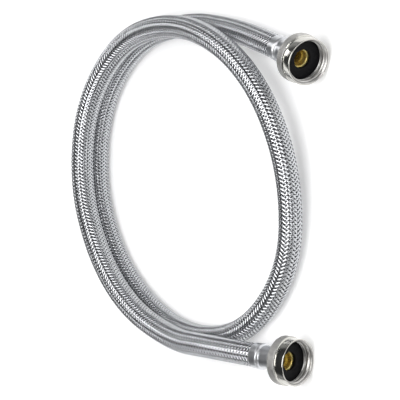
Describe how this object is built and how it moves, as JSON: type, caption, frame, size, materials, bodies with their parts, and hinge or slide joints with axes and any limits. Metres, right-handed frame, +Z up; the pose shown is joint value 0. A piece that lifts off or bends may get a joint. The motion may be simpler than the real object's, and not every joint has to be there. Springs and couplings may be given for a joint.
{
  "type": "braided supply hose",
  "caption": "Flexible stainless braided supply hose lying in loose turns, with a swivelling female hose-thread nut and rubber washer at each end.",
  "frame": {"origin": "on the surface that the hose lies on, under the middle of its footprint", "axes": "+Z up, the axis of the coil; both nuts' mouths point roughly along -Y, end A on the +X side and end B on the -X side"},
  "size_m": [0.2399, 0.2422, 0.0316],
  "materials": {
    "braid": "bright woven wire",
    "inner_tube": "matte",
    "fibre": "woven yarn",
    "ferrule": "polished",
    "brass": "turned",
    "nut": "nickel-plated, with a knurled rear ring",
    "washer": "matte"
  },
  "bodies": {
    "hose": {"steel_braid": "braid", "fibre_reinforcement": "fibre", "inner_tube": "inner_tube", "ferrule_a": "ferrule", "ferrule_b": "ferrule", "barbed_stem_a": "brass", "barbed_stem_b": "brass"},
    "nut_a": {"swivel_nut_a": "nut", "washer_a": "washer"},
    "nut_b": {"swivel_nut_b": "nut", "washer_b": "washer"}
  },
  "joints": [
    {"name": "nut_a_swivel", "type": "hinge", "parent": "hose", "child": "nut_a", "pos_m": [0.0914, -0.0833, 0.01313], "axis": [-0.3205, -0.9415, 0.1045], "continuous": true},
    {"name": "nut_b_swivel", "type": "hinge", "parent": "hose", "child": "nut_b", "pos_m": [-0.1022, -0.0698, 0.01877], "axis": [-0.0779, -0.9903, -0.1149], "continuous": true}
  ]
}
